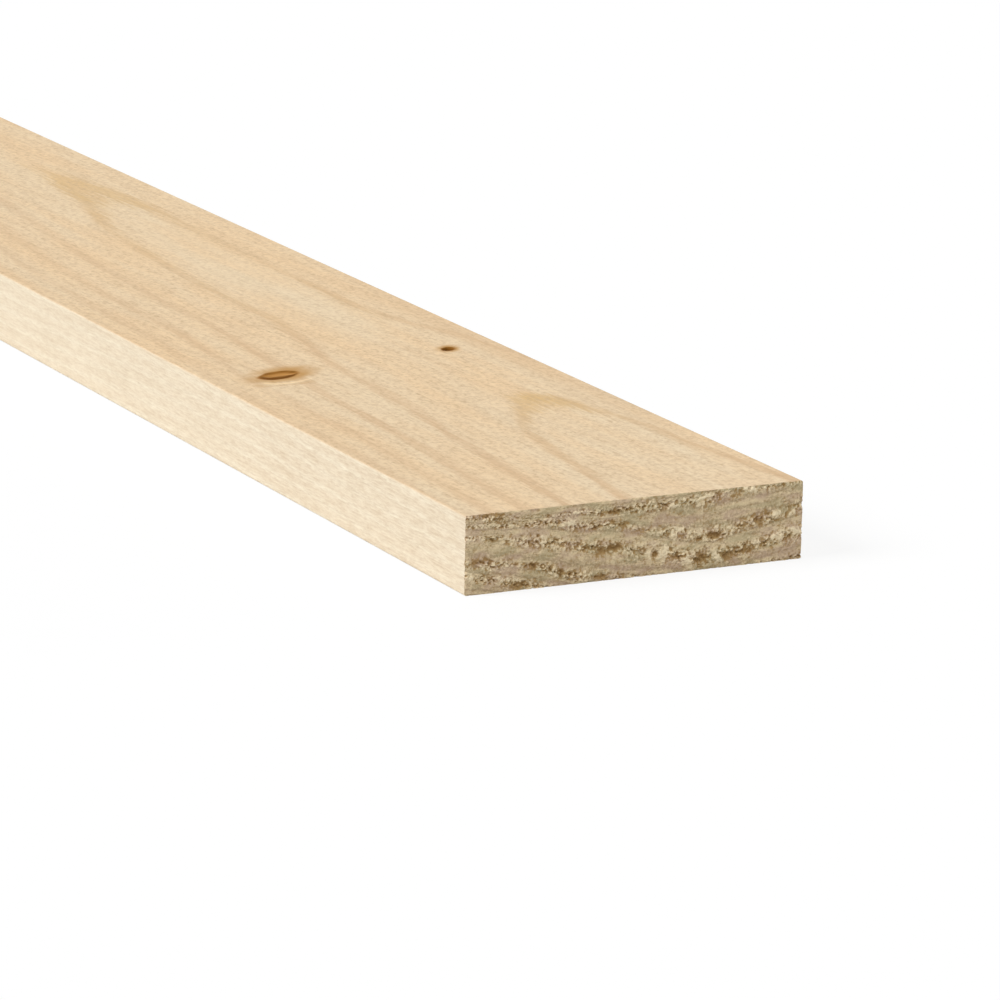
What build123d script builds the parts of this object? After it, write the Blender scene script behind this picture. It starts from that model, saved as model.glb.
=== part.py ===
from build123d import *

import os

# A bare softwood board, planed on its four long faces and sawn square across both ends.
# It lies on its wide face. Its length runs along X, its width along Y and its thickness along Z, and the
# origin is the centre of the underside. The front end is the one at +X, and the front edge is the narrow
# face at -Y. All sizes are in millimetres.

# The stock: a nominal 1 x 4 board, 4 ft long
board_length = 1219.2
board_width = 88.9
board_thickness = 19.05
arris_radius = 0.5  # the planer leaves the four long edges eased by this much

# Large knot in the upper face: an oval of branch wood that dried to just below the planed surface
large_knot_from_end = 147.7
large_knot_from_edge = 19.6
large_knot_length = 12.6
large_knot_width = 7.2
large_knot_turn = -64.5  # degrees from +X to the oval's long axis
large_knot_depth = 0.5

# Small knot in the upper face: a pin knot with an open heart
small_knot_from_end = 159.2
small_knot_from_edge = 73.1
small_knot_length = 4.6
small_knot_width = 3.2
small_knot_turn = -40.0
small_knot_depth = 1.4

# The floor of a knot's hollow is a smaller copy of its rim
rim_share = 1.0
floor_share = 0.6

# Where each knot's centre stands on the upper face, and how the knot is turned there
large_knot_x = board_length / 2 - large_knot_from_end
large_knot_y = large_knot_from_edge - board_width / 2
large_knot_place = Location((large_knot_x, large_knot_y), large_knot_turn)
small_knot_x = board_length / 2 - small_knot_from_end
small_knot_y = small_knot_from_edge - board_width / 2
small_knot_place = Location((small_knot_x, small_knot_y), small_knot_turn)

# The place, length, width and depth of each knot's hollow
knots = [
    (large_knot_place, large_knot_length, large_knot_width, large_knot_depth),
    (small_knot_place, small_knot_length, small_knot_width, small_knot_depth),
]

with BuildPart() as board:
    # The squared stock
    Box(board_length, board_width, board_thickness, align=(Align.CENTER, Align.CENTER, Align.MIN))

    # The four long arrises, eased by the planer. The sawn ends stay sharp
    fillet(board.edges().filter_by(Axis.X), arris_radius)

    # The hollow of each knot narrows from its rim in the upper face to its floor
    for place, knot_length, knot_width, knot_depth in knots:
        for height, share in [(board_thickness, rim_share), (board_thickness - knot_depth, floor_share)]:
            with BuildSketch(Plane.XY.offset(height)):
                with Locations(place):
                    Ellipse(knot_length / 2 * share, knot_width / 2 * share)
        loft(mode=Mode.SUBTRACT)

board.part.label = "board"

os.makedirs("parts", exist_ok=True)
export_step(board.part, "parts/board.step")
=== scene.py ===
"""A bare softwood board, planed on its four long faces, with torn, coarse-sawn ends.

The board lies along X with its front end at +X, its front edge at -Y and its underside on the floor. One
closed mesh stands for it: two fine grids for the sawn ends, a section carried along the length for the
planed faces, and a fine patch for each knot. The growth rings are one function of place, which every face
and both ends are cut from. Lengths are in metres unless a comment says mm.
"""

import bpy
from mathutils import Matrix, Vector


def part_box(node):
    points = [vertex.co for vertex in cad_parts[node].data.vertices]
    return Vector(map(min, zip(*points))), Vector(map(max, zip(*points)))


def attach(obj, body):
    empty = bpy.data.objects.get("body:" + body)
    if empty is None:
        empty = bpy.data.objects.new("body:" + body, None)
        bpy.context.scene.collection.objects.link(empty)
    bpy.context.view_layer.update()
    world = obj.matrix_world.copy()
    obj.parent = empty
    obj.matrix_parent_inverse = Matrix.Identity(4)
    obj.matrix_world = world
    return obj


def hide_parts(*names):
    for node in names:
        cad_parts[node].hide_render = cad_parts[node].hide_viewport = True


bl_info = {
    "name": "Softwood board",
    "version": (1, 0, 0),
    "blender": (4, 5, 0),
    "location": "3D View > Sidebar > Board",
    "description": "Builds a planed softwood board with knots and sawn end grain, and a stage to show it on",
    "category": "Add Mesh",
}

import math

import bpy
import numpy as np
from bpy.props import FloatProperty, FloatVectorProperty, PointerProperty
from mathutils import Matrix, Vector

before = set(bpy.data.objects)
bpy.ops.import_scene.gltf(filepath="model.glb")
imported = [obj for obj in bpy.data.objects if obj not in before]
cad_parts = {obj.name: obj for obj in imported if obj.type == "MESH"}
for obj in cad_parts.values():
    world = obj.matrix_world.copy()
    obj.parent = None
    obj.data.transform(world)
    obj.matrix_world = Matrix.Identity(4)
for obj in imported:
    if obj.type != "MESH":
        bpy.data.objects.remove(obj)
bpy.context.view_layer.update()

MM = 0.001
LOW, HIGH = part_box("board")
MIDDLE = (LOW + HIGH) / 2
LENGTH = HIGH.x - LOW.x
WIDTH = HIGH.y - LOW.y
THICKNESS = HIGH.z - LOW.z

# The growth-ring figure of the upper face, in mm. Each row has a place measured back from the front end, how
# far from the front edge the heart line runs there, how many rings lie between the heart and the face, and
# the squared distance from the heart line that takes the face through one ring
FIGURE = (
    (0, 64.4, 0.44, 950),
    (33, 64.5, 0.62, 950),
    (50, 64.7, 0.69, 950),
    (70, 65.5, 0.78, 970),
    (89, 67.4, 0.94, 1080),
    (102, 68.0, 1.01, 1140),
    (122, 65.0, 1.20, 1060),
    (154, 61.8, 1.37, 965),
    (172, 62.1, 1.50, 960),
    (189, 60.6, 1.645, 900),
    (206, 59.9, 1.75, 880),
    (230, 59.2, 1.755, 845),
    (250, 59.5, 1.755, 850),
    (270, 60.0, 1.75, 815),
    (290, 60.7, 1.77, 820),
    (310, 61.4, 1.79, 790),
    (330, 62.6, 1.80, 770),
    (350, 64.4, 1.85, 795),
    (368, 66.8, 1.92, 860),
    (395, 68.0, 1.985, 830),
    (420, 68.0, 2.05, 800),
    (500, 66.0, 2.27, 850),
    (620, 61.0, 2.55, 950),
    (770, 59.0, 3.00, 900),
    (860, 62.0, 3.08, 850),
    (960, 66.0, 2.95, 900),
    (1090, 63.0, 2.50, 1000),
    (1220, 58.0, 2.35, 950),
)
FIGURE_UNITS = (MM, MM, 1, MM**2)
FLATTENING_DEPTH = 25 * MM  # the rings are half as curved this far below the upper face
HEART_BAND = 12 * MM  # nearer the heart line than this, a ring line is as broad as it is here

# The lines of the narrow faces: how far apart they are, and how many lines they rise and fall, and how often
EDGE_LINE_GAP = 3.9 * MM
EDGE_WANDER = 0.48
EDGE_WANDER_LENGTH = 300 * MM

# Bands of torn early wood on the front end, in mm, from the upper face down. Each row of a band is a place
# across the end from the front edge, how deep the band's middle lies there, and half its height
TORN_BANDS = (
    (
        (0, 0.3, 0.6), (9, 1.4, 0.9), (20, 2.2, 0.5), (34, 2.4, 0.7), (45, 2.6, 1.1), (57, 2.5, 1.0),
        (64, 2.1, 1.4), (72, 1.0, 0.8), (89, 0.2, 0.5),
    ),
    (
        (0, 2.6, 0.5), (10, 3.2, 0.5), (24, 4.3, 1.0), (33, 5.7, 1.0), (42, 6.3, 0.9), (47, 8.0, 0.9),
        (55, 9.6, 1.2), (62, 10.8, 1.3), (67, 10.3, 1.4), (76, 8.4, 1.3), (82, 7.5, 1.4), (89, 6.2, 1.3),
    ),
    (
        (0, 5.4, 0.6), (8, 6.5, 0.7), (17, 7.8, 1.3), (24, 9.4, 1.3), (32, 10.8, 1.2), (39, 11.6, 1.4),
        (46, 13.3, 2.0), (52, 14.3, 2.1), (60, 15.9, 1.9), (68, 16.1, 1.7), (75, 15.0, 1.6), (82, 13.5, 1.7),
        (89, 12.2, 1.7),
    ),
    (
        (0, 11.0, 1.0), (7, 12.2, 1.2), (13, 12.5, 0.7), (17, 13.6, 0.9), (24, 15.8, 1.2), (29, 16.8, 1.1),
        (36, 17.9, 1.0), (45, 19.2, 0.8), (65, 20.5, 0.7), (89, 18.4, 0.7),
    ),
    (
        (0, 14.6, 0.8), (10, 16.5, 1.0), (15, 17.9, 1.2), (24, 20.0, 0.8), (45, 24.0, 0.8), (89, 24.0, 0.8),
    ),
)
BAND_GAP = 4.5  # mm from one band to the next, above the first and below the last
BACK_DRIFT = (5.0, 1.2)  # the bands lie this many mm across and deeper at the back end

# The largest pits and crumbs of the front end, in mm: place across and depth, half-length and half-height,
# how far the middle falls for each step across, and its tone, from -1 in a deep pit to 1 on a pale crumb
FRONT_TEARS = (
    (4.6, 0.6, 1.3, 0.5, 0, -0.6),
    (8.6, 1.7, 1.5, 0.7, 0, -0.6),
    (24.0, 4.4, 0.8, 0.8, 0, -0.8),
    (26.7, 4.3, 2.1, 0.7, 0, 0.9),
    (33.6, 6.1, 1.2, 0.6, 0.1, -0.6),
    (38.6, 2.7, 2.4, 0.5, 0, -0.6),
    (41.3, 5.9, 1.4, 0.5, -0.1, -0.7),
    (8.0, 6.6, 3.5, 0.35, 0.05, -0.5),
    (2.8, 11.2, 2.8, 0.7, -0.1, -0.6),
    (17.4, 13.6, 1.5, 0.7, 0.2, -1.0),
    (14.5, 18.0, 1.9, 0.8, 0, -0.9),
    (25.0, 16.1, 0.9, 0.8, 0, -0.8),
    (28.9, 16.9, 0.6, 0.9, 0, -0.7),
    (35.4, 18.0, 2.0, 0.6, 0, -0.9),
    (26.8, 9.6, 3.4, 0.45, 0.08, -0.6),
    (31.0, 10.9, 0.9, 0.7, 0, -0.8),
    (35.3, 11.9, 1.6, 0.9, -0.1, -1.0),
    (39.0, 11.2, 2.0, 0.7, 0, -0.8),
    (45.4, 7.9, 1.6, 0.5, 0.1, -0.5),
    (54.8, 10.5, 1.0, 0.8, 0, 0.6),
    (64.6, 10.9, 2.8, 0.7, -0.1, -0.8),
    (68.8, 9.6, 1.3, 0.9, 0, 0.6),
    (72.6, 9.3, 2.2, 0.7, -0.15, -0.6),
    (77.4, 8.5, 1.2, 0.7, 0, -0.7),
    (82.0, 7.4, 1.3, 0.9, 0, 0.9),
    (62.5, 1.7, 1.8, 0.9, 0, 0.7),
    (47.6, 13.6, 0.8, 0.8, 0, 0.8),
    (49.6, 14.4, 0.7, 1.5, 0, -0.8),
    (51.8, 14.0, 1.6, 1.3, 0, 1.0),
    (55.0, 15.0, 1.1, 0.8, 0, -0.7),
    (58.2, 16.4, 1.5, 1.0, 0, 0.8),
    (61.5, 16.2, 1.6, 1.0, 0, -1.0),
    (65.8, 16.3, 1.2, 1.1, 0, 0.8),
    (68.3, 16.4, 1.1, 0.9, 0, -1.0),
    (72.4, 15.8, 3.2, 0.9, -0.1, -0.6),
    (78.0, 14.6, 2.2, 0.7, -0.1, -0.5),
    (82.9, 13.4, 1.0, 1.0, 0, 1.0),
    (84.4, 13.1, 0.5, 1.0, 0, -0.7),
    (87.4, 12.0, 1.6, 0.8, 0, 0.9),
)

# Mesh spacing
END_STEP = 0.25 * MM
COLUMN_STEP = 2.0 * MM
FINE_STATION_STEP = 4.0 * MM
STATION_STEP = 12.0 * MM
FINE_REACH = 240 * MM  # the closely spaced stations run this far back from the front end
SUPPORT_GAP = 0.15 * MM  # a line of points this far inside each arris keeps its shading off the flat face
CHIP_BACK = 0.6 * MM  # the second ring of points behind a sawn end
FIRST_STATION = 2.0 * MM
PATCH_GAP = 0.5 * MM
KNOT_PATCHES = ((12.6 * MM, 0.22 * MM), (4.5 * MM, 0.15 * MM))  # each knot's patch: its reach and its spacing
SHARP_ANGLE = 60  # degrees

NOISE_CELLS = 512
SAW_SEED = 11
BACK_SAW_SEED = 111
KNOT_SEED = 23

# Beside a knot the ring lines part: how many knot lengths along the board that reaches, and how strong it is
PART_LENGTHS = 1.2
PART_SHARE = 0.55

INNER_FADE = 4.0 * MM  # how far a ring line fades on its side towards the heart
KNOTS_BACK = 150  # both knots lie about this many mm behind the front end
SHEEN = 0.12

BAKE_MAP = "OFBake"
BAKE_PIXELS = 1024
BAKE_MARGIN = 5
BAKE_ACROSS = 1.95 / MM  # pixels for each metre across the long faces
BAKE_END = 5.4 / MM  # pixels for each metre of the sawn ends

# The long faces: the axis and sense that each one looks along, and the same for its two directions on the map
LONG_FACES = (
    ((2, 1), (0, 1), (1, 1)),
    ((2, -1), (0, 1), (1, -1)),
    ((1, -1), (0, 1), (2, 1)),
    ((1, 1), (0, -1), (2, 1)),
)


def srgb(red, green, blue):
    """A colour from 0 to 255 as Blender's linear light."""
    shares = np.array([red, green, blue]) / 255
    return tuple(np.where(shares <= 0.04045, shares / 12.92, ((shares + 0.055) / 1.055) ** 2.4))


def length_property(name, description, millimetres):
    return FloatProperty(
        name=name, description=description, default=millimetres * MM, min=0, unit="LENGTH", precision=5
    )


def angle_property(name, description, degrees):
    return FloatProperty(name=name, description=description, default=math.radians(degrees), subtype="ANGLE")


def colour_property(name, description, *levels):
    return FloatVectorProperty(
        name=name, description=description, default=srgb(*levels), subtype="COLOR", size=3, min=0, max=1
    )


class BoardShape(bpy.types.PropertyGroup):
    """The sizes that a user would change."""

    arris_radius: length_property("Arris radius", "Rounding of the four long edges", 0.5)
    ring_depth: length_property("Ring depth", "Thickness of one growth ring", 4.0)
    tear_depth: length_property("Tear depth", "How deep the saw tore the soft early wood", 0.8)
    crumb_size: length_property("Crumb size", "Width of a torn crumb of end grain", 1.25)

    large_from_end: length_property("Large knot from end", "From the front end to its centre", 147.7)
    large_from_edge: length_property("Large knot from edge", "From the front edge to its centre", 19.6)
    large_length: length_property("Large knot length", "Long axis of the large knot", 12.6)
    large_width: length_property("Large knot width", "Short axis of the large knot", 7.2)
    large_hollow: length_property("Large knot hollow", "How far it dried below the face", 0.5)

    small_from_end: length_property("Small knot from end", "From the front end to its centre", 159.2)
    small_from_edge: length_property("Small knot from edge", "From the front edge to its centre", 73.1)
    small_length: length_property("Small knot length", "Long axis of the small knot", 4.6)
    small_width: length_property("Small knot width", "Short axis of the small knot", 3.2)
    small_hollow: length_property("Small knot hollow", "Depth of the small knot's open heart", 1.4)

    large_turn: angle_property("Large knot turn", "From the length to its long axis", -64.5)
    small_turn: angle_property("Small knot turn", "From the length to its long axis", -40)


class BoardColours(bpy.types.PropertyGroup):
    """The colours that a user would change."""

    early_wood: colour_property("Early wood", "The pale wood between two ring lines", 235, 216, 184)
    warm_wood: colour_property("Warm wood", "The warmer clouds in the pale wood", 237, 207, 166)
    late_wood: colour_property("Late wood", "The ring lines where they turn round", 211, 174, 110)
    flank_wood: colour_property("Flank wood", "The ring lines along the board", 212, 178, 138)
    # Edge wood: partly the narrow faces' own paler wood, partly painted sheen that whitens them
    edge_wood_and_sheen: colour_property("Edge wood", "The paler wood of the narrow faces", 249, 237, 213)
    fibre: colour_property("Fibre", "The thin dark streaks along the grain", 194, 165, 130)
    knot_heart: colour_property("Knot heart", "The branch wood inside a knot", 196, 140, 70)
    bark: colour_property("Bark", "The dark rim of a knot and its cracks", 106, 63, 0)
    halo: colour_property("Halo", "The resin-tinted wood around a knot", 190, 147, 90)
    # A painted highlight on the wood round a knot
    lip: colour_property("Lip", "The pale wood that bends round a knot", 246, 218, 172)
    sawn_dark: colour_property("Sawn late wood", "The smooth grey bands of a sawn end", 175, 152, 120)
    sawn_light: colour_property("Sawn early wood", "The lighter streaks of a sawn end", 236, 214, 173)
    rosy: colour_property("Rosy wood", "The pinkish clouds of a sawn end", 196, 166, 147)
    olive: colour_property("Olive wood", "The greenish clouds of a sawn end", 178, 166, 128)
    # Partly their own colour, partly painted light: a highlight on the raised crumbs, shade in tears and pits
    lit_crumb: colour_property("Crumb", "The pale torn crumbs of a sawn end", 255, 237, 200)
    shaded_tear: colour_property("Tear", "The golden brown of shallow tears", 176, 138, 80)
    shaded_pit: colour_property("Pit", "The dark floor of deep pits", 110, 80, 40)


def smooth_step(value, start, stop):
    """From 0 at start to 1 at stop, as 3t^2 - 2t^3."""
    t = np.clip((value - start) / (stop - start), 0, 1)
    return t * t * (3 - 2 * t)


def smooth_curve(at, places, values):
    """The cubic Hermite curve through the values, with slopes weighed from the gaps on both sides."""
    slopes = np.gradient(values, places)
    k = np.clip(np.searchsorted(places, at) - 1, 0, len(places) - 2)
    gap = places[k + 1] - places[k]
    t = np.clip((at - places[k]) / gap, 0, 1)
    rise = t * t * (3 - 2 * t)
    leave = t * (1 - t) ** 2 * gap * slopes[k]
    arrive = t * t * (t - 1) * gap * slopes[k + 1]
    return values[k] * (1 - rise) + values[k + 1] * rise + leave + arrive


def noise(u, v, seed):
    """A random value from -1 to 1 at each whole (u, v), blended between the nearest four as 3t^2 - 2t^3."""
    table = np.random.default_rng(seed).uniform(-1, 1, (NOISE_CELLS, NOISE_CELLS))
    i = np.floor(u).astype(int)
    j = np.floor(v).astype(int)
    s = smooth_step(u - i, 0, 1)
    t = smooth_step(v - j, 0, 1)

    def corner(di, dj):
        return table[(i + di) % NOISE_CELLS, (j + dj) % NOISE_CELLS]

    near = corner(0, 0) * (1 - s) + corner(1, 0) * s
    far = corner(0, 1) * (1 - s) + corner(1, 1) * s
    return near * (1 - t) + far * t


def fractal(u, v, seed):
    """Three layers of noise, each twice as fine and half as strong as the one before."""
    return sum(noise(u * 2**i, v * 2**i, seed + i) / 2**i for i in range(3)) / 1.4


class Knot:
    """An oval knot in the upper face, in its own frame: along and across its axes, 1 at its rim."""

    def __init__(self, from_end, from_edge, length, width, turn, hollow):
        self.x = HIGH.x - from_end
        self.y = LOW.y + from_edge
        self.length = length
        self.width = width
        self.turn = turn
        self.hollow = hollow

    def own_frame(self, x, y):
        """The turned place, divided by the half-axes."""
        dx = x - self.x
        dy = y - self.y
        along = (dx * math.cos(self.turn) + dy * math.sin(self.turn)) / (self.length / 2)
        across = (dy * math.cos(self.turn) - dx * math.sin(self.turn)) / (self.width / 2)
        return along, across

    def radius(self, x, y):
        """Distance from the centre, 1 at the rim, with a rim that wanders a little."""
        along, across = self.own_frame(x, y)
        wander = 0.07 * noise(along * 1.7 + 40, across * 1.7 + 40, KNOT_SEED)
        return np.hypot(along, across) * (1 + wander)


def knots_of(shape):
    sizes = ("from_end", "from_edge", "length", "width", "turn", "hollow")
    return [Knot(*(getattr(shape, f"{name}_{size}") for size in sizes)) for name in ("large", "small")]


def drawn_aside(x, y, knots):
    """Where a place takes its rings from: nearer to a knot that it is beside, so that the lines part."""
    for knot in knots:
        dx = (x - knot.x) / (knot.length * PART_LENGTHS)
        dy = (y - knot.y) / knot.width
        y = y - (y - knot.y) * PART_SHARE * np.exp(-dx * dx - dy * dy)
    return y


def ring_count(x, y, z, shape, knots):
    """Growth rings passed on the way out from the heart, the width of one ring along the wide faces, and how
    near the heart line is.

    Count = rings above the face + (distance from the heart line)^2 / spread, which flattens with depth,
    + depth / ring depth.
    """
    back, heart, above, spread = (np.array(FIGURE) * FIGURE_UNITS).T
    place = HIGH.x - x
    depth = HIGH.z - z
    aside = drawn_aside(x, y, knots) - LOW.y - smooth_curve(place, back, heart)
    spread = smooth_curve(place, back, spread) * (1 + depth / FLATTENING_DEPTH)
    count = smooth_curve(place, back, above) + aside * aside / spread + depth / shape.ring_depth
    width = spread / (2 * np.maximum(np.abs(aside), HEART_BAND))
    return count, width, np.exp(-((aside / HEART_BAND) ** 2))


def torn_band(y, z, seed):
    """How torn a sawn end is, 0 to 1, and the phase that counts its bands.

    Torn = the greatest of exp(-(distance from a band's middle / its half-height)^2), broken up by noise.
    Phase is 0 on the first band and goes up by one from each band to the next, evenly.
    """
    across = (y - LOW.y) / MM
    depth = (HIGH.z - z) / MM
    if seed != SAW_SEED:
        across, depth = across - BACK_DRIFT[0], depth - BACK_DRIFT[1]
    wavy = 0.35 * noise(across / 5, depth / 3, seed)
    depth = depth + wavy + 0.30 * fractal(across / 1.8, depth / 1.2, seed + 1)
    torn = np.zeros(y.shape)
    middles = []
    for rows in TORN_BANDS:
        places, middle, half = np.array(rows).T
        middles.append(smooth_curve(across, places, middle))
        off = (depth - middles[-1]) / smooth_curve(across, places, half)
        torn = np.maximum(torn, np.exp(-off * off))
    phase = (np.minimum(depth - middles[0], 0) + np.maximum(depth - middles[-1], 0)) / BAND_GAP
    for upper, lower in zip(middles, middles[1:]):
        phase = phase + np.clip((depth - upper) / (lower - upper), 0, 1)
    patches = smooth_step(noise(across / 7, phase * 1.3, seed + 2), -0.8, 0.2)
    return np.clip(torn * (0.40 + 0.60 * patches) + 0.10, 0, 1), phase


def large_tears(y, z, seed):
    """The tone of the front end's largest pits and crumbs: a sum of ragged bells exp(-along^2 - up^2)."""
    across = (y - LOW.y) / MM
    depth = (HIGH.z - z) / MM
    across, depth = (
        across + 0.35 * fractal(across, depth, seed + 4),
        depth + 0.25 * fractal(across * 1.3, depth * 1.5, seed + 6),
    )
    tone = np.zeros(y.shape)
    for place, deep, half_length, half_height, fall, strength in FRONT_TEARS:
        along = (across - place) / half_length
        up = (depth - deep - fall * (across - place)) / half_height
        tone += strength * np.exp(-along * along - up * up)
    return tone


def sawn_relief(y, z, shape, seed):
    """Height above the saw cut, how torn each place is, its tone from -1 in a pit to 1 on a crumb, and phase.

    The crumbs are fractal noise drawn out along the rings. Where it is low the early wood is torn out. On the
    front end the largest pits and crumbs stand in their own places.
    """
    torn, phase = torn_band(y, z, seed)
    size = shape.crumb_size
    across = phase * BAND_GAP * MM
    coarse = fractal(y / (size * 1.05), across / (size * 0.66), seed + 3)
    fine = fractal(y / (size * 0.34), across / (size * 0.27), seed + 8)
    large = large_tears(y, z, seed) if seed == SAW_SEED else 0.8 * np.minimum(coarse + 0.3, 0) * torn
    crumbs = (0.75 * coarse + 1.15 * fine + 0.10) * torn + 0.18 * fine
    tone = np.clip(crumbs * (1 - 0.5 * np.minimum(np.abs(large), 1)) + large, -1, 1)
    height = shape.tear_depth * (0.45 * np.maximum(tone, 0) - 0.8 * np.maximum(-tone - 0.08, 0) - 0.05 * torn)
    return height + 0.06 * MM * fine * (1 - torn), torn, tone, phase


def knot_relief(knot, x, y):
    """Height of the face over a knot, and its heart, bark, halo and lip masks.

    Near goes from -1 to 1 across the oval towards the front edge and the front end. The bark is a dark ring
    just inside the rim where near is high and a thin brown one elsewhere, with a pale streak between them.
    The hollow is deepest where near is low. Round the rim lies a warm halo, broad and darkest where near is
    low. On the other side two arcs of circles are painted round the knot: the lip mask is above 0 on the
    first, a pale painted highlight, and below 0 on the second, a dark painted shadow. Both end inside the
    knot's own patch. An open heart is dark past its rim.
    """
    along, across = knot.own_frame(x, y)
    radius = knot.radius(x, y)
    near = 0.62 * along + 0.78 * across
    side = 0.5 + 0.5 * np.tanh(3.0 * near + 0.1)
    streaks = noise((0.6 * along - 0.8 * across) * 1.5 + 9, near * 4.5 + 9, KNOT_SEED + 1)
    pale = np.exp(-(((across + 0.30 * along) / 0.20) ** 2)) * (1 - smooth_step(np.abs(along), 0.5, 1.0))
    opened = smooth_step(knot.hollow, 0.6 * MM, 1.2 * MM)
    open_heart = 0.90 * opened * (1 - smooth_step(radius, 0.75, 1.45))
    heart = 1 - smooth_step(radius, 0.90, 1.18)
    dark = 0.92 * np.exp(-(((radius - 0.76) / 0.27) ** 2)) * side
    brown = 0.42 * np.exp(-(((radius - 0.92) / 0.19) ** 2))
    inner = np.maximum(0.37 + 0.42 * streaks - 0.45 * pale, 0)
    bark = np.clip(heart * (1 - opened) * (np.maximum(dark, brown) + inner) + open_heart, 0, 1)
    floor = (1 - smooth_step(radius, 0.66, 1.02)) * (0.10 + 0.6 * (1 - side))
    pith = opened * (1 - smooth_step(radius, 0.4, 1.0))
    height = -knot.hollow * (floor + 0.75 * pith) + 0.04 * MM * streaks * heart
    off = np.maximum(radius, 0.5)
    away = 0.55 - 0.28 * along / off + 0.40 * (np.minimum(near, 0) / off) ** 2
    close = 0.45 * np.exp(-(((radius - 1.25) / 0.50) ** 2)) * side
    halo = np.clip((1 - smooth_step(radius, 0.90, 2.80 - 0.10 * side)) * away + close, 0, 1)
    arc = np.hypot(along, across - 0.9)
    lip_light_reach = smooth_step(along, -0.9, 0.3) * smooth_step(across, 0.5, 1.0) * (1 - opened)
    lip = (np.exp(-(((arc - 1.44) / 0.17) ** 2)) - 0.9 * np.exp(-(((arc - 2.0) / 0.30) ** 2))) * lip_light_reach
    aside = np.maximum(np.abs(x - knot.x), np.abs(y - knot.y)) / knot.length
    return height, heart, bark, halo, lip * (1 - smooth_step(aside, 0.84, 0.95))


class Surface:
    """The board's points, faces and per-point values, gathered from its grids."""

    VALUES = (
        "ring", "ring_width", "crest", "edge_ring", "narrow", "torn",
        "tone", "phase", "knot", "bark", "halo", "lip",
    )

    def __init__(self):
        self.points = []
        self.values = {name: [] for name in self.VALUES}
        self.quads = []
        self.triangles = []
        self.sawn_quads = []
        self.count = 0

    def add_points(self, x, y, z, **values):
        """Adds arrays of points with their values, and returns their numbers in the same shape."""
        x, y, z = np.broadcast_arrays(x, y, z)
        self.points.append(np.stack([x.ravel(), y.ravel(), z.ravel()], axis=1))
        for name, gathered in self.values.items():
            gathered.append(np.broadcast_to(values.get(name, 0.0), x.shape).ravel())
        numbers = np.arange(self.count, self.count + x.size).reshape(x.shape)
        self.count += x.size
        return numbers

    def add_grid(self, numbers, turned=False, sawn=False):
        """Quads between neighbours of a grid of points. The first way, then the second, turns outwards."""
        a, b = numbers[:-1, :-1].ravel(), numbers[1:, :-1].ravel()
        c, d = numbers[1:, 1:].ravel(), numbers[:-1, 1:].ravel()
        faces = np.stack([a, d, c, b] if turned else [a, b, c, d], axis=1)
        (self.sawn_quads if sawn else self.quads).append(faces)

    def add_band(self, near, far):
        """Quads between two closed rings with as many points each."""
        self.quads.append(np.stack([near, np.roll(near, -1), np.roll(far, -1), far], axis=1))

    def add_zip(self, near, near_places, far, far_places):
        """Triangles between two closed rings with different counts.

        Each edge of either ring gets the other ring's point that stands beside the edge's middle, where
        both rings are measured from 0 to 4 around their four sides.
        """
        near_middles = (near_places + np.append(near_places[1:], 4.0)) / 2
        far_middles = (far_places + np.append(far_places[1:], 4.0)) / 2
        beside_near = np.searchsorted(far_middles, near_middles, side="left") % len(far)
        beside_far = np.searchsorted(near_middles, far_middles, side="right") % len(near)
        self.triangles.append(np.stack([near, np.roll(near, -1), far[beside_near]], axis=1))
        self.triangles.append(np.stack([near[beside_far], np.roll(far, -1), far], axis=1))


def steps(start, stop, spacing):
    """Evenly spaced places from start to stop, both included."""
    return np.linspace(start, stop, max(1, round(abs(stop - start) / spacing)) + 1)


def eased(y, z, radius):
    """The section's square corners drawn in to quarter circles: each corner cell is scaled by max / hypot."""
    flat_y = WIDTH / 2 - radius
    flat_z = THICKNESS / 2 - radius
    over_y = np.maximum(np.abs(y - MIDDLE.y) - flat_y, 0)
    over_z = np.maximum(np.abs(z - MIDDLE.z) - flat_z, 0)
    far = np.maximum(over_y, over_z)
    share = np.where(far > 0, far / np.maximum(np.hypot(over_y, over_z), 1e-12), 1.0)
    new_y = MIDDLE.y + np.sign(y - MIDDLE.y) * (np.minimum(np.abs(y - MIDDLE.y), flat_y) + over_y * share)
    new_z = MIDDLE.z + np.sign(z - MIDDLE.z) * (np.minimum(np.abs(z - MIDDLE.z), flat_z) + over_z * share)
    return new_y, new_z


def side_places(side_length, radius, spacing):
    """Places along one side of the section: its corner, the arris, a support line, even columns and back."""
    inner = radius + SUPPORT_GAP
    middle = steps(inner, side_length - inner, spacing)
    start = np.array([0, radius / 2, radius])
    stop = np.array([side_length - radius, side_length - radius / 2])
    return np.concatenate([start, middle, stop])


def section_ring(radius):
    """The board's section, counter-clockwise seen from the front end, with each point's place from 0 to 4."""
    wide = side_places(WIDTH, radius, COLUMN_STEP)
    tall = side_places(THICKNESS, radius, COLUMN_STEP)
    flat_wide, flat_tall = np.zeros_like(wide), np.zeros_like(tall)
    y = np.concatenate([LOW.y + wide, flat_tall + HIGH.y, HIGH.y - wide, flat_tall + LOW.y])
    z = np.concatenate([flat_wide + LOW.z, LOW.z + tall, flat_wide + HIGH.z, HIGH.z - tall])
    places = np.concatenate([wide / WIDTH, 1 + tall / THICKNESS, 2 + wide / WIDTH, 3 + tall / THICKNESS])
    upper = slice(len(wide) + len(tall), 2 * len(wide) + len(tall))
    return y, z, places, upper


def outer_ring(grid):
    """The outer values of a grid, counter-clockwise."""
    return np.concatenate([grid[:-1, 0], grid[-1, :-1], grid[:0:-1, -1], grid[0, :0:-1]])


def rim_of(numbers):
    """The outer points of a grid, counter-clockwise, and their places from 0 to 4."""
    along, across = (np.arange(count - 1) / (count - 1) for count in numbers.shape)
    return outer_ring(numbers), np.concatenate([along, 1 + across, 2 + along, 3 + across])


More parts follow.
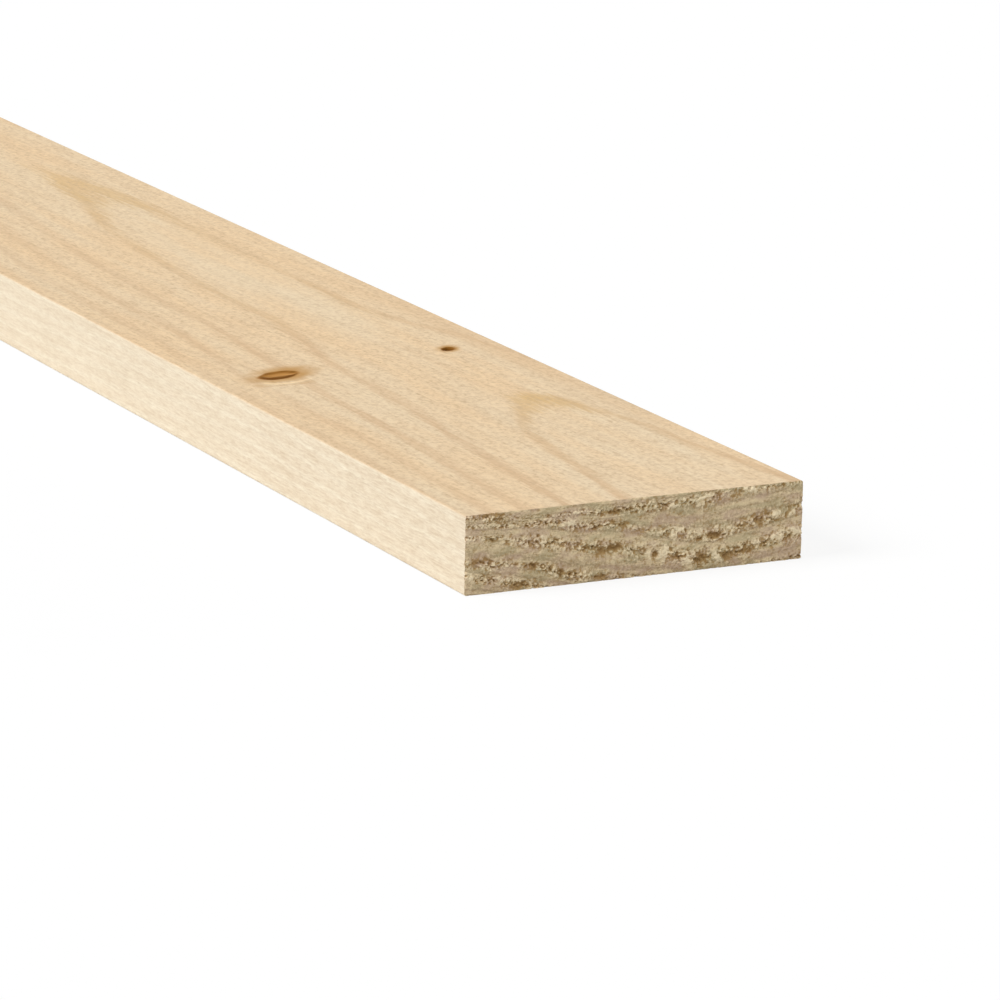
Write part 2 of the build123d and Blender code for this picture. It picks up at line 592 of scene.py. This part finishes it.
def narrowness(y, z):
    """1 on the narrow faces and lower arrises, 0 on the wide faces, and between on the upper arrises.

    So the lower arrises take the paler narrow colour, painted light over their shade, and the upper ones a
    darker mix, painted shade over their highlight.
    """
    beside = smooth_step(np.abs(y - MIDDLE.y), WIDTH / 2 - 0.6 * MM, WIDTH / 2 - 0.1 * MM)
    below = smooth_step(HIGH.z - z, -0.05 * MM, 0.4 * MM)
    return beside * below * smooth_step(z - LOW.z, -0.05 * MM, 0.1 * MM)


def wood_values(x, y, z, shape, knots):
    """The ring count and line width of the wide faces, and the line count of the narrow ones.

    Lines on a narrow face = depth / gap + wander * (1 - cos(distance from the front end)).
    """
    count, width, crest = ring_count(x, y, z, shape, knots)
    wander = EDGE_WANDER * (1 - np.cos((HIGH.x - x) * (2 * math.pi / EDGE_WANDER_LENGTH)))
    edge = (HIGH.z - z) / EDGE_LINE_GAP + wander
    return {"ring": count, "ring_width": width, "crest": crest, "edge_ring": edge, "narrow": narrowness(y, z)}


def add_end(surface, x, outward, shape, knots):
    """A sawn end: a grid over the section, raised and torn by the relief, and a ring of points behind it."""
    y, z = np.meshgrid(steps(LOW.y, HIGH.y, END_STEP), steps(LOW.z, HIGH.z, END_STEP), indexing="ij")
    seed = SAW_SEED if outward > 0 else BACK_SAW_SEED
    height, torn, tone, phase = sawn_relief(y, z, shape, seed)
    inside = np.minimum(np.minimum(y - LOW.y, HIGH.y - y), np.minimum(z - LOW.z, HIGH.z - z))
    worn = 1 - smooth_step(inside, 0, 0.5 * MM)
    height = height - 0.10 * MM * worn * (1 + noise(y / MM, z / MM, seed + 20))
    y, z = eased(y, z, shape.arris_radius)
    values = wood_values(np.full(y.shape, x), y, z, shape, knots)
    numbers = surface.add_points(x + outward * height, y, z, torn=torn, tone=tone, phase=phase, **values)
    surface.add_grid(numbers, turned=outward < 0, sawn=True)
    rim, places = rim_of(numbers)
    rim_y, rim_z = outer_ring(y), outer_ring(z)
    behind = np.full(rim_y.shape, x - outward * CHIP_BACK)
    second = surface.add_points(behind, rim_y, rim_z, **wood_values(behind, rim_y, rim_z, shape, knots))
    surface.add_band(*((second, rim) if outward > 0 else (rim, second)))
    return second, places


def station_places():
    """Places along the length, close together near the front end, where the knots are."""
    start, stop = LOW.x + FIRST_STATION, HIGH.x - FIRST_STATION
    coarse = steps(start, HIGH.x - FINE_REACH, STATION_STEP)
    fine = steps(HIGH.x - FINE_REACH, stop, FINE_STATION_STEP)
    return np.concatenate([coarse, fine[1:]])


def add_knot_patch(surface, knot, stations, columns, numbers, reach, spacing, shape, knots):
    """A fine grid in place of the face's own quads around a knot, zipped to the points around it.

    Returns the first and last station and column of the hole.
    """
    first, last = np.searchsorted(stations, [knot.x - reach, knot.x + reach]) - [1, 0]
    left, right = np.searchsorted(columns, [knot.y - reach, knot.y + reach]) - [1, 0]
    x, y = np.meshgrid(
        steps(stations[first] + PATCH_GAP, stations[last] - PATCH_GAP, spacing),
        steps(columns[left] + PATCH_GAP, columns[right] - PATCH_GAP, spacing),
        indexing="ij",
    )
    height, heart, bark, halo, lip = knot_relief(knot, x, y)
    values = wood_values(x, y, np.full(x.shape, HIGH.z), shape, knots)
    patch = surface.add_points(x, y, HIGH.z + height, knot=heart, bark=bark, halo=halo, lip=lip, **values)
    surface.add_grid(patch)
    rim, rim_places = rim_of(patch)
    hole, hole_places = rim_of(numbers[first : last + 1, left : right + 1])
    surface.add_zip(hole, hole_places, rim, rim_places)
    return first, last, left, right


def add_planed_faces(surface, shape, knots):
    """The section carried along the length, with a hole in the upper face for each knot's patch."""
    y, z, places, upper = section_ring(shape.arris_radius)
    y, z = eased(y, z, shape.arris_radius)
    stations = station_places()
    x = stations[:, None]
    halos = sum(knot_relief(knot, x, y)[3] for knot in knots) * (z > HIGH.z - MM)
    values = wood_values(x, np.broadcast_to(y, (len(x), len(y))), z, shape, knots)
    numbers = surface.add_points(x, y, z, halo=halos, **values)

    # The upper face's columns run from +Y to -Y, so they are turned round to count up with Y
    columns = y[upper][::-1]
    upper_numbers = numbers[:, upper][:, ::-1]
    missing = np.zeros((len(stations) - 1, len(y)), bool)
    for knot, (reach, spacing) in zip(knots, KNOT_PATCHES):
        first, last, left, right = add_knot_patch(
            surface, knot, stations, columns, upper_numbers, reach, spacing, shape, knots
        )
        missing[first:last, upper.stop - 1 - right : upper.stop - 1 - left] = True
    onward = np.roll(numbers, -1, axis=1)
    faces = np.stack([numbers[:-1], onward[:-1], onward[1:], numbers[1:]], axis=2)
    surface.quads.append(faces[~missing])
    return numbers[0], numbers[-1], places


def read_all(items, name, width=1, kind=float):
    """One property of all the items, as an array."""
    values = np.zeros(len(items) * width, kind)
    items.foreach_get(name, values)
    return values.reshape(-1, width) if width > 1 else values


def lay_out_bake_map(mesh, points):
    """A map with every face at its own flat place, closer packed along the grain than across it.

    The long faces are cut in two at mid length and stacked, and the two ends stand side by side above them.
    """
    corner = points[read_all(mesh.loops, "vertex_index", kind=np.int32)]
    totals = read_all(mesh.polygons, "loop_total", kind=np.int32)
    slots = read_all(mesh.polygons, "material_index", kind=np.int32)
    normals = np.abs(read_all(mesh.polygons, "normal", 3))
    offsets = read_all(mesh.polygons, "center", 3) - tuple(MIDDLE)
    level = normals[:, 2] >= normals[:, 1]
    places = np.zeros((len(corner), 2))

    def lay(faces, directions, start, scale):
        """Lays one piece on the map from its start, in pixels, and returns where it stops."""
        used = np.repeat(faces, totals)
        axes, senses = np.array(directions).T
        flat = corner[used][:, axes] * senses
        places[used] = start + (flat - flat.min(axis=0)) * scale
        return places[used].max(axis=0)

    left, top = 2.0 * BAKE_MARGIN, float(BAKE_MARGIN)
    scale = ((BAKE_PIXELS - 4 * BAKE_MARGIN) / (LENGTH / 2), BAKE_ACROSS)
    for (axis, sense), *directions in LONG_FACES:
        side = (slots == 0) & (level == (axis == 2)) & (offsets[:, axis] * sense > 0)
        for half in (-1, 1):
            stop = lay(side & (offsets[:, 0] * half > 0), directions, (left, top), scale)
            top = stop[1] + BAKE_MARGIN
    for sense in (1, -1):
        faces = (slots == 1) & (offsets[:, 0] * sense > 0)
        stop = lay(faces, ((1, sense), (2, 1)), (left, top), BAKE_END)
        left = stop[0] + 3 * BAKE_MARGIN
    layer = mesh.uv_layers.new(name=BAKE_MAP)
    layer.data.foreach_set("uv", (places / BAKE_PIXELS).ravel())


def mesh_of(surface, name):
    """The gathered arrays as a mesh: planed faces in the first material, sawn faces in the second."""
    points = np.concatenate(surface.points)
    planed = np.concatenate(surface.quads)
    sawn = np.concatenate(surface.sawn_quads)
    triangles = np.concatenate(surface.triangles)
    corners = np.concatenate([planed.ravel(), sawn.ravel(), triangles.ravel()])
    totals = np.repeat([4, 3], [len(planed) + len(sawn), len(triangles)])
    mesh = bpy.data.meshes.new(name)
    mesh.vertices.add(len(points))
    mesh.vertices.foreach_set("co", points.ravel())
    mesh.loops.add(len(corners))
    mesh.loops.foreach_set("vertex_index", corners)
    mesh.polygons.add(len(totals))
    mesh.polygons.foreach_set("loop_start", np.cumsum(totals) - totals)
    slots = np.repeat([0, 1, 0], [len(planed), len(sawn), len(triangles)])
    mesh.polygons.foreach_set("material_index", slots)
    mesh.update(calc_edges=True)
    mesh.validate()
    for value, gathered in surface.values.items():
        attribute = mesh.attributes.new(value, "FLOAT", "POINT")
        attribute.data.foreach_set("value", np.concatenate(gathered))
    mesh.shade_smooth()
    mesh.set_sharp_from_angle(angle=math.radians(SHARP_ANGLE))
    lay_out_bake_map(mesh, points)
    return mesh


class Value:
    """One number or colour in a material. Arithmetic on it adds the nodes that work it out."""

    def __init__(self, finish, socket):
        self.finish = finish
        self.socket = socket

    def maths(self, operation, *others):
        """A maths node with this value as its first input."""
        return self.finish.node("ShaderNodeMath", {"operation": operation}, dict(enumerate((self, *others))))

    def __add__(self, other):
        return self.maths("ADD", other)

    def __sub__(self, other):
        return self.maths("SUBTRACT", other)

    def __rsub__(self, other):
        return self.finish.node("ShaderNodeMath", {"operation": "SUBTRACT"}, {0: other, 1: self})

    def __mul__(self, other):
        return self.maths("MULTIPLY", other)

    def __truediv__(self, other):
        return self.maths("DIVIDE", other)


class Finish:
    """A material or sky whose nodes are added by name, settings first and then inputs."""

    def __init__(self, name, kind):
        self.made = kind.new(name)
        self.made.use_nodes = True
        self.nodes = self.made.node_tree.nodes
        self.links = self.made.node_tree.links
        self.nodes.clear()

    def node(self, kind, settings=None, inputs=None, output=0):
        """Adds a node, sets it, feeds its inputs with numbers, colours or values, and returns one output."""
        made = self.nodes.new(kind)
        for setting, choice in (settings or {}).items():
            setattr(made, setting, choice)
        for key, given in (inputs or {}).items():
            if isinstance(given, Value):
                self.links.new(given.socket, made.inputs[key])
            else:
                made.inputs[key].default_value = given
        return Value(self, made.outputs[output]) if made.outputs else None

    def attribute(self, name):
        return self.node("ShaderNodeAttribute", {"attribute_name": name}, output="Fac")

    def place(self, cell):
        """Object coordinates divided by a cell's size in mm along each axis."""
        point = self.node("ShaderNodeTexCoord", output="Object")
        scale = tuple(1 / (size * MM) for size in cell)
        return self.node("ShaderNodeVectorMath", {"operation": "MULTIPLY"}, {0: point, 1: scale})

    def noise(self, cell, detail=2.0, roughness=0.5):
        """Noise from 0 to 1 whose cells have this size in mm."""
        inputs = {"Vector": self.place(cell), "Scale": 1.0, "Detail": detail, "Roughness": roughness}
        return self.node("ShaderNodeTexNoise", {}, inputs)

    def fade(self, value, start, stop, low=0.0, high=1.0):
        """From low at start to high at stop, smoothly."""
        return self.node(
            "ShaderNodeMapRange",
            {"interpolation_type": "SMOOTHSTEP"},
            {"Value": value, "From Min": start, "From Max": stop, "To Min": low, "To Max": high},
        )

    def mix(self, share, first, second):
        """The first colour where the share is 0, the second where it is 1."""
        return self.node("ShaderNodeMix", {"data_type": "RGBA"}, {0: share, 6: first, 7: second}, output=2)

    def finished(self, colour, roughness, height, distance):
        """A matt wood surface with this colour, roughness and bump."""
        normal = self.node("ShaderNodeBump", {}, {"Height": height, "Distance": distance, "Strength": 1.0})
        wood = self.node(
            "ShaderNodeBsdfPrincipled",
            {},
            {"Base Color": colour, "Roughness": roughness, "Normal": normal, "Specular IOR Level": SHEEN},
        )
        self.node("ShaderNodeOutputMaterial", {}, {"Surface": wood})
        return self.made


def rgba(colour):
    return (*colour, 1.0)


def ring_line(finish, ring, width, feather, outer_fade):
    """1 on a ring line, fading to 0 over INNER_FADE towards the heart and over outer_fade away from it."""
    off = ((ring + 0.5).maths("FRACT") - 0.5) * width + feather
    inner = off / -INNER_FADE
    return 1 - finish.fade(inner.maths("MAXIMUM", off / outer_fade), 0.0, 1.0)


def planed_softwood(colours):
    """Pale wood with soft ring lines, fine fibres and dark-rimmed knots."""
    finish = Finish("planed_softwood", bpy.data.materials)
    ring, width, crest, edge_ring, narrow, heart, bark, halo, lip = (
        finish.attribute(name)
        for name in ("ring", "ring_width", "crest", "edge_ring", "narrow", "knot", "bark", "halo", "lip")
    )
    wide = 1 - narrow

    # The place behind the front end and across the board, in mm
    place = finish.place((1, 1, 1))
    x, y = (finish.node("ShaderNodeSeparateXYZ", {}, {0: place}, output=axis) for axis in "XY")
    back = HIGH.x / MM - x
    far = finish.fade(back, 20, 450)

    # Ring lines, ragged along the fibres: stronger near the front end, weaker by the front edge and far back
    feather = (finish.noise((20, 1, 1), detail=3.0, roughness=0.65) - 0.5) * (5.0 * MM)
    wide_line = ring_line(finish, ring, width, feather * (crest * 0.6 + 1.25), (crest * 1.8 + 2.4) * MM)
    edge_line = ring_line(finish, edge_ring, EDGE_LINE_GAP, feather * 0.5, 2.0 * MM)
    patches = finish.fade(finish.noise((38, 7, 7)), 0.3, 0.7, 0.38, 0.76)
    near = finish.fade(back, 240, 170)
    front = finish.fade(y - LOW.y / MM, 34, 6)
    strength = (patches + crest * 0.06 + near * 0.12) * (1 - front * 0.34) * (1 - far * (0.22 - crest * 0.16))
    line = wide_line * wide * strength + edge_line * narrow * 0.16

    # Warm clouds, weaker inside the two loops, and a warm streak along the back edge beside the knots
    inside = finish.fade(ring, 2.0, 1.75) * finish.fade(back, 170, 230) * wide
    beyond = finish.fade(ring, 0.85, 1.1) * (1 - inside * 0.6)
    clouds = finish.fade(finish.noise((90, 10, 10)), 0.3, 0.7) * 0.65
    clouds = clouds + finish.fade(back, 60, 130, 0.14, 0.29) * beyond
    from_knots = (back - KNOTS_BACK).maths("ABSOLUTE")
    streak = finish.fade(HIGH.y / MM - y, 15, 2) * finish.fade(from_knots, 115, 50)
    colour = finish.mix(clouds, rgba(colours.early_wood), rgba(colours.warm_wood))
    # The narrow faces take the edge colour: partly their own paler wood, partly painted sheen
    colour = finish.mix(narrow, colour, rgba(colours.edge_wood_and_sheen))
    line_colour = finish.mix(crest, rgba(colours.flank_wood), rgba(colours.late_wood))
    colour = finish.mix(line, colour, line_colour)
    colour = finish.mix(streak * wide * (1 - line) * 0.30, colour, rgba(colours.flank_wood))

    # Fibres: fine streaks all over, broader ones, a few short dark ones, and pores as wide as they are long
    fibres = finish.noise((5, 0.6, 0.6), detail=4.0, roughness=0.75)
    bands = finish.noise((26, 1.7, 1.7))
    flecks = finish.noise((4, 0.7, 0.7), detail=1.0)
    pores = finish.noise((1.5, 1.3, 1.3), detail=3.0, roughness=0.7)
    # Fewer fibres on the narrow faces further back: painted light, the edges brighter away from the front end
    grain = finish.fade(fibres, 0.32, 0.72) * (narrow * (0.41 - far * 0.32) + 0.21)
    grain = grain + finish.fade(bands, 0.35, 0.75) * 0.16
    grain = grain + finish.fade(pores, 0.38, 0.74) * (1 - narrow * 0.82) * 0.52
    # The narrow * wide term darkens the upper arrises: painted shade over the highlight the key lamp puts on
    # them
    grain = grain + finish.fade(flecks, 0.64, 0.78) * 0.35 * (1 - narrow * 0.7) + narrow * wide * 0.4
    colour = finish.mix(grain * (1 - narrow * 0.30 - inside * 0.22), colour, rgba(colours.fibre))

    # Knots: a warm halo, a pale painted highlight arc with a painted shadow arc past it, the branch wood and
    # its bark
    colour = finish.mix(halo, colour, rgba(colours.halo))
    colour = finish.mix(lip * 0.70, colour, rgba(colours.lip))
    colour = finish.mix(lip * -0.36, colour, rgba(colours.halo))
    colour = finish.mix(heart, colour, rgba(colours.knot_heart))
    colour = finish.mix(bark, colour, rgba(colours.bark))

    roughness = finish.fade(fibres, 0.2, 0.8, 0.62, 0.76) - line * 0.06 + bark * 0.2
    height = fibres + bands * 0.6 + line * 0.4 - flecks * 0.3
    return finish.finished(colour, roughness, height, 0.04 * MM)


def sawn_end_grain(colours):
    """Grey-tan bands along the rings, and torn bands with pale crumbs and brown pits: partly their own
    colour, partly a painted highlight on the crumbs and painted shade in the pits.
    """
    finish = Finish("sawn_end_grain", bpy.data.materials)
    torn = finish.attribute("torn")
    tone = finish.attribute("tone")
    phase = finish.attribute("phase")

    # Streaks that follow the rings, rosy and greenish clouds, beads where it is torn, and a fine speckle
    blotch = finish.noise((1, 5, 1.6), detail=3.0, roughness=0.6)
    streak = finish.node("ShaderNodeCombineXYZ", {}, {"X": phase * 6.0, "Y": blotch * 2.5, "Z": 0.0})
    lines = finish.node("ShaderNodeTexNoise", {}, {"Vector": streak, "Scale": 1.0, "Detail": 3.0})
    speckle = finish.noise((0.4, 0.6, 0.34), detail=3.0, roughness=0.75)
    clouds = finish.noise((4, 7, 2.5), detail=1.0)
    cells = {"Vector": finish.place((4, 0.64, 0.50)), "Scale": 1.0}
    # The beads are pale in their middles and dark between, like their bumps: painted highlight and shade
    bead = finish.fade(finish.node("ShaderNodeTexVoronoi", {}, cells, output="Distance"), 0.62, 0.12)
    tint = finish.node("ShaderNodeTexVoronoi", {}, cells, output="Color")
    chance = finish.node("ShaderNodeSeparateColor", {}, {0: tint}, output="Red")
    # Raised places pale and sunken ones brown and dark: partly the wood's own colour, partly painted
    # highlight and shade
    light = finish.fade(lines * 0.85 + blotch * 0.25 + speckle * 0.65 + tone * 0.35, 0.62, 1.08)
    colour = finish.mix(light, rgba(colours.sawn_dark), rgba(colours.sawn_light))
    colour = finish.mix(finish.fade(clouds, 0.48, 0.66) * 0.46, colour, rgba(colours.rosy))
    colour = finish.mix(finish.fade(clouds, 0.50, 0.33) * 0.48, colour, rgba(colours.olive))

    grit = (speckle - 0.5) * 0.4 + (chance - 0.5 + (bead - 0.5) * 0.6) * (torn * 0.75 + 0.25)
    pale = finish.fade(tone + grit, 0.02, 0.75)
    brown = finish.fade(tone + grit, -0.08, -0.55)
    deep = finish.fade(tone + grit * 0.5, -0.55, -1.10)
    colour = finish.mix(pale * 0.90, colour, rgba(colours.lit_crumb))
    colour = finish.mix(brown * 0.70, colour, rgba(colours.shaded_tear))
    colour = finish.mix(deep * 0.52, colour, rgba(colours.shaded_pit))
    return finish.finished(colour, torn * 0.08 + 0.85, speckle + lines * 0.5 + bead * torn, 0.10 * MM)


class BOARD_OT_timber(bpy.types.Operator):
    """Build the board's mesh and its wood finishes"""

    bl_idname = "board.timber"
    bl_label = "Board"

    def execute(self, context):
        shape = context.scene.board_shape
        colours = context.scene.board_colours
        knots = knots_of(shape)
        surface = Surface()
        first, last, section_places = add_planed_faces(surface, shape, knots)
        front, front_places = add_end(surface, HIGH.x, 1, shape, knots)
        back, back_places = add_end(surface, LOW.x, -1, shape, knots)
        surface.add_zip(last, section_places, front, front_places)
        surface.add_zip(back, back_places, first, section_places)
        mesh = mesh_of(surface, "softwood_board")
        mesh.materials.append(planed_softwood(colours))
        mesh.materials.append(sawn_end_grain(colours))
        board = bpy.data.objects.new("softwood_board", mesh)
        context.scene.collection.objects.link(board)
        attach(board, "root")
        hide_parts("board")
        return {"FINISHED"}


# The stage. The floor is a little under the board, so that the two faces don't share a plane
FLOOR_SIZE = 8.0
FLOOR_GAP = 0.02 * MM
FLOOR_BOUNCE = 0.60  # how much light the floor gives back to the board
FLOOR_WHITE = 0.97  # the floor that the camera sees
SHADOW_SHARE = 0.18  # how much of the floor's lit look the camera sees. The rest is plain white
SKY_LEVEL = 0.42

# Each lamp: where it stands from the board, how strong it is and how wide it looks
LAMPS = (
    ("key_lamp", (-0.10, -0.78, 0.61), 2.0, 30),
    ("fill_lamp", (0.60, -0.10, 0.80), 0.85, 22),
    ("back_lamp", (-0.05, 1.0, 0.05), 0.7, 16),
)

# The camera's place from the front end's upper front corner, and where it looks
CAMERA_FROM_CORNER = (1077.1 * MM, -535.5 * MM, 308.4 * MM)
CAMERA_RIGHT = (0.4467, 0.8945, 0.0184)
CAMERA_UP = (-0.2275, 0.0937, 0.9693)
CAMERA_LENS = 195.06
SENSOR_WIDTH = 36.0


def seen_directly(finish):
    """1 for what the camera sees, straight, by a reflection or through glass, and 0 for other light."""
    camera, glossy, through = (
        finish.node("ShaderNodeLightPath", output=name)
        for name in ("Is Camera Ray", "Is Glossy Ray", "Is Transmission Ray")
    )
    return camera.maths("MAXIMUM", glossy.maths("MAXIMUM", through))


def white_floor():
    """A pale floor that the camera sees as white but for the board's soft shadow."""
    finish = Finish("pale_floor", bpy.data.materials)
    bounce = finish.node("ShaderNodeBsdfDiffuse", {}, {"Color": rgba([FLOOR_BOUNCE] * 3)})
    lit = finish.node("ShaderNodeBsdfDiffuse", {}, {"Color": rgba([FLOOR_WHITE] * 3)})
    white = finish.node("ShaderNodeEmission", {}, {"Color": rgba([1, 1, 1]), "Strength": 1.0})
    seen = finish.node("ShaderNodeMixShader", {}, {0: SHADOW_SHARE, 1: white, 2: lit})
    surface = finish.node("ShaderNodeMixShader", {}, {0: seen_directly(finish), 1: bounce, 2: seen})
    finish.node("ShaderNodeOutputMaterial", {}, {"Surface": surface})
    return finish.made


def add_floor(scene):
    half = FLOOR_SIZE / 2
    z = LOW.z - FLOOR_GAP
    corners = [(-half, -half, z), (half, -half, z), (half, half, z), (-half, half, z)]
    mesh = bpy.data.meshes.new("floor")
    mesh.from_pydata(corners, [], [(0, 1, 2, 3)])
    mesh.materials.append(white_floor())
    floor = bpy.data.objects.new("floor", mesh)
    scene.collection.objects.link(floor)


def add_sky(scene):
    """White where the camera sees it, and a plain soft light to everything else."""
    finish = Finish("studio_sky", bpy.data.worlds)
    level = seen_directly(finish) * (1 - SKY_LEVEL) + SKY_LEVEL
    light = finish.node("ShaderNodeBackground", {}, {"Color": rgba([1, 1, 1]), "Strength": level})
    finish.node("ShaderNodeOutputWorld", {}, {"Surface": light})
    scene.world = finish.made


def add_lamps(scene):
    for name, direction, strength, width in LAMPS:
        lamp = bpy.data.lights.new(name, "SUN")
        lamp.energy = strength
        lamp.angle = math.radians(width)
        holder = bpy.data.objects.new(name, lamp)
        holder.rotation_euler = Vector(direction).to_track_quat("Z", "Y").to_euler()
        holder.location = Vector(direction)
        scene.collection.objects.link(holder)


def add_camera(scene):
    """The camera stands in front of the front end, a little above the board and to its left."""
    right = Vector(CAMERA_RIGHT).normalized()
    up = Vector(CAMERA_UP).normalized()
    back = right.cross(up).normalized()
    up = back.cross(right)
    turn = Matrix((right, up, back)).transposed()
    corner = Vector((HIGH.x, LOW.y, HIGH.z))
    data = bpy.data.cameras.new("camera")
    data.sensor_width = SENSOR_WIDTH
    data.lens = CAMERA_LENS
    camera = bpy.data.objects.new("camera", data)
    camera.matrix_world = Matrix.Translation(corner + Vector(CAMERA_FROM_CORNER)) @ turn.to_4x4()
    scene.collection.objects.link(camera)
    scene.camera = camera


class BOARD_OT_stage(bpy.types.Operator):
    """Set up the floor, the lamps, the sky and the camera"""

    bl_idname = "board.stage"
    bl_label = "Stage"

    def execute(self, context):
        scene = context.scene
        scene.view_settings.view_transform = "Standard"
        add_floor(scene)
        add_sky(scene)
        add_lamps(scene)
        add_camera(scene)
        return {"FINISHED"}


class BOARD_PT_sidebar(bpy.types.Panel):
    """The board's sizes, colours and steps"""

    bl_label = "Softwood board"
    bl_space_type = "VIEW_3D"
    bl_region_type = "UI"
    bl_category = "Board"

    def draw(self, context):
        for group in (context.scene.board_shape, context.scene.board_colours):
            column = self.layout.column()
            for name in group.__annotations__:
                column.prop(group, name)
        for step in STEPS:
            self.layout.operator(step.bl_idname)


STEPS = (BOARD_OT_timber, BOARD_OT_stage)
CLASSES = (BoardShape, BoardColours, *STEPS, BOARD_PT_sidebar)


def register():
    for cls in CLASSES:
        bpy.utils.register_class(cls)
    bpy.types.Scene.board_shape = PointerProperty(type=BoardShape)
    bpy.types.Scene.board_colours = PointerProperty(type=BoardColours)


def unregister():
    del bpy.types.Scene.board_colours
    del bpy.types.Scene.board_shape
    for cls in reversed(CLASSES):
        bpy.utils.unregister_class(cls)


def main():
    register()
    bpy.ops.board.timber()
    bpy.ops.board.stage()


if __name__ == "__main__":
    main()
